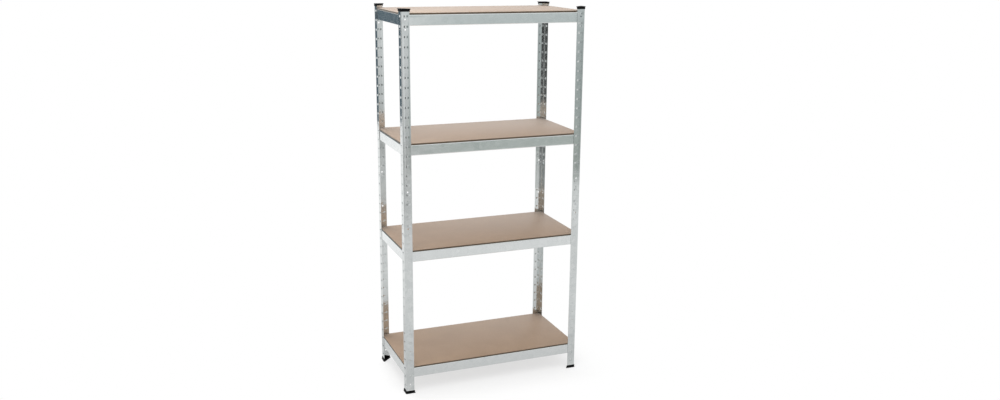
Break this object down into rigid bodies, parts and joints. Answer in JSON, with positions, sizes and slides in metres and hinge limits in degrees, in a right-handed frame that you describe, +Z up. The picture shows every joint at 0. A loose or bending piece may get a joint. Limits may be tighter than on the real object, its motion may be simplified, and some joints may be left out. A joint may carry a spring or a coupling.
{
  "type": "storage rack",
  "caption": "Free-standing boltless storage rack: galvanised angle posts with pressed straps, hooked channel beams and hardboard shelves on plastic feet.",
  "frame": {"origin": "on the floor, under the middle of the rack", "axes": "+Z up, +X along the front from left to right, +Y from the front to the back"},
  "size_m": [0.806, 0.406, 1.6309],
  "materials": {
    "post_steel": "hot-dip galvanised sheet, faint spangle, satin",
    "beam_steel": "hot-dip galvanised sheet, faint spangle, satin",
    "splice_steel": "galvanised sheet, satin",
    "hardboard": "bare mid-brown pressed fibre board, matt",
    "black_plastic": "injection-moulded black plastic, satin"
  },
  "bodies": {
    "root": {"foot_front_left": "black_plastic", "post_lower_front_left": "post_steel", "splice_front_left": "splice_steel", "post_upper_front_left": "post_steel", "cap_front_left": "black_plastic", "foot_front_right": "black_plastic", "post_lower_front_right": "post_steel", "splice_front_right": "splice_steel", "post_upper_front_right": "post_steel", "cap_front_right": "black_plastic", "foot_back_right": "black_plastic", "post_lower_back_right": "post_steel", "splice_back_right": "splice_steel", "post_upper_back_right": "post_steel", "cap_back_right": "black_plastic", "foot_back_left": "black_plastic", "post_lower_back_left": "post_steel", "splice_back_left": "splice_steel", "post_upper_back_left": "post_steel", "cap_back_left": "black_plastic", "beam_1_front": "beam_steel", "beam_1_back": "beam_steel", "beam_1_left": "beam_steel", "beam_1_right": "beam_steel", "shelf_board_1": "hardboard", "beam_2_front": "beam_steel", "beam_2_back": "beam_steel", "beam_2_left": "beam_steel", "beam_2_right": "beam_steel", "shelf_board_2": "hardboard", "beam_3_front": "beam_steel", "beam_3_back": "beam_steel", "beam_3_left": "beam_steel", "beam_3_right": "beam_steel", "shelf_board_3": "hardboard", "beam_4_front": "beam_steel", "beam_4_back": "beam_steel", "beam_4_left": "beam_steel", "beam_4_right": "beam_steel", "shelf_board_4": "hardboard"}
  },
  "joints": []
}
